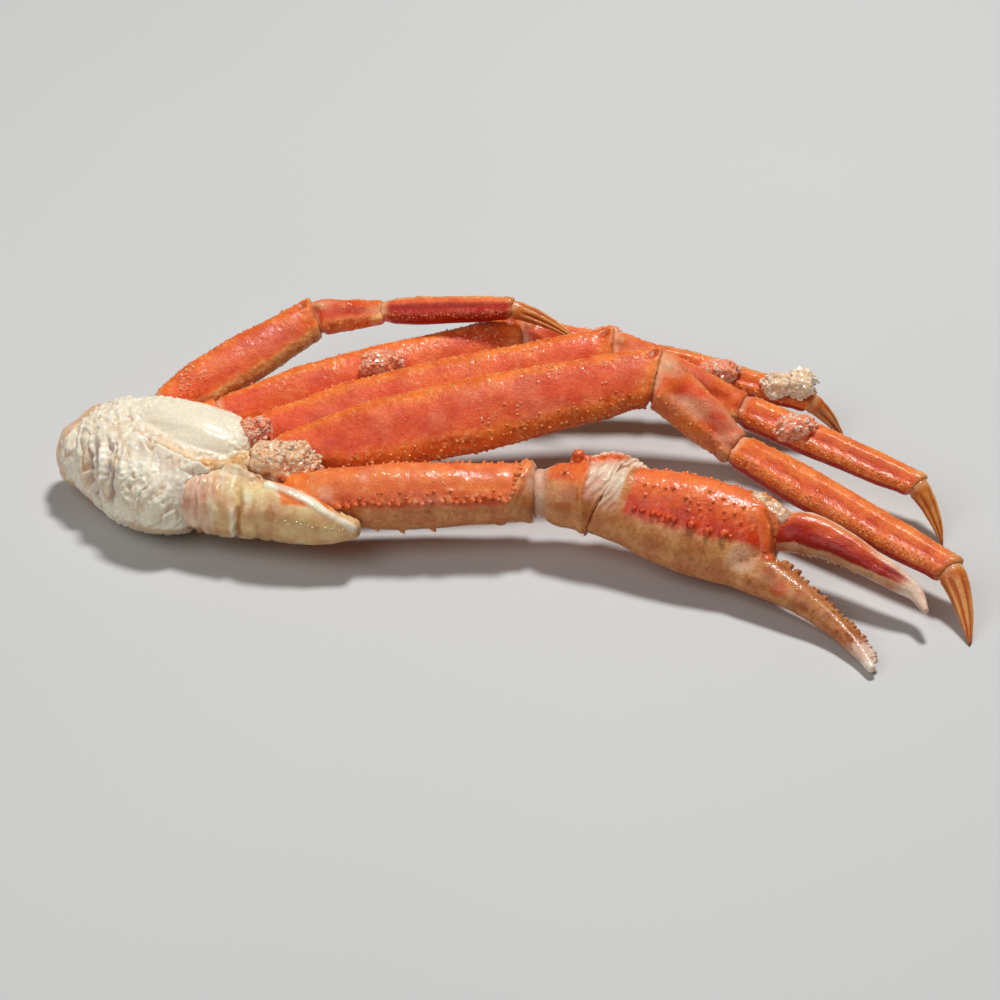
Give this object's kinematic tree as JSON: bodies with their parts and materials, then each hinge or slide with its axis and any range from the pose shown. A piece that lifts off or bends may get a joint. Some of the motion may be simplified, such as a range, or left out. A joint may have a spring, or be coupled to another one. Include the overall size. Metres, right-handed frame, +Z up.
{
  "type": "snow crab cluster",
  "caption": "Cooked snow crab cluster: half a body of white meat with its clawed arm and jointed walking legs in orange and cream shell, with bits of crushed ice on top.",
  "frame": {"origin": "on the table, below the middle of the cluster's box", "axes": "+X from the body to the claw, +Y from the claw arm to the rear legs, +Z up from the table"},
  "size_m": [0.2963, 0.1637, 0.0475],
  "materials": {
    "shell_orange": "wet satin",
    "shell_cream": "wet satin",
    "meat_white": "moist",
    "ice_clear": "wet gloss"
  },
  "bodies": {
    "root": {"shoulder_meat": "meat_white", "shoulder_lobe": "meat_white", "claw_coxa": "shell_cream", "claw_ischium": "shell_cream", "shoulder_shell": "shell_cream", "claw_merus": "shell_orange", "claw_carpus": "shell_orange", "claw_palm": "shell_orange", "claw_moving_finger": "shell_orange", "leg_1_ischium": "shell_orange", "leg_1_merus": "shell_orange", "leg_1_carpus": "shell_orange", "leg_1_propodus": "shell_orange", "leg_1_dactylus": "shell_orange", "leg_2_ischium": "shell_orange", "leg_2_merus": "shell_orange", "leg_2_carpus": "shell_orange", "leg_2_propodus": "shell_orange", "leg_2_dactylus": "shell_orange", "leg_3_ischium": "shell_orange", "leg_3_merus": "shell_orange", "leg_3_carpus": "shell_orange", "leg_3_propodus": "shell_orange", "leg_3_dactylus": "shell_orange", "leg_4_ischium": "shell_orange", "leg_4_merus": "shell_orange", "leg_4_carpus": "shell_orange", "leg_4_propodus": "shell_orange", "leg_4_dactylus": "shell_orange", "ice_hips": "ice_clear", "ice_hip_back": "ice_clear", "ice_leg_3_merus": "ice_clear", "ice_leg_3_carpus": "ice_clear", "ice_leg_2_propodus": "ice_clear", "ice_leg_3_propodus": "ice_clear", "ice_leg_3_ankle": "ice_clear"}
  },
  "joints": []
}
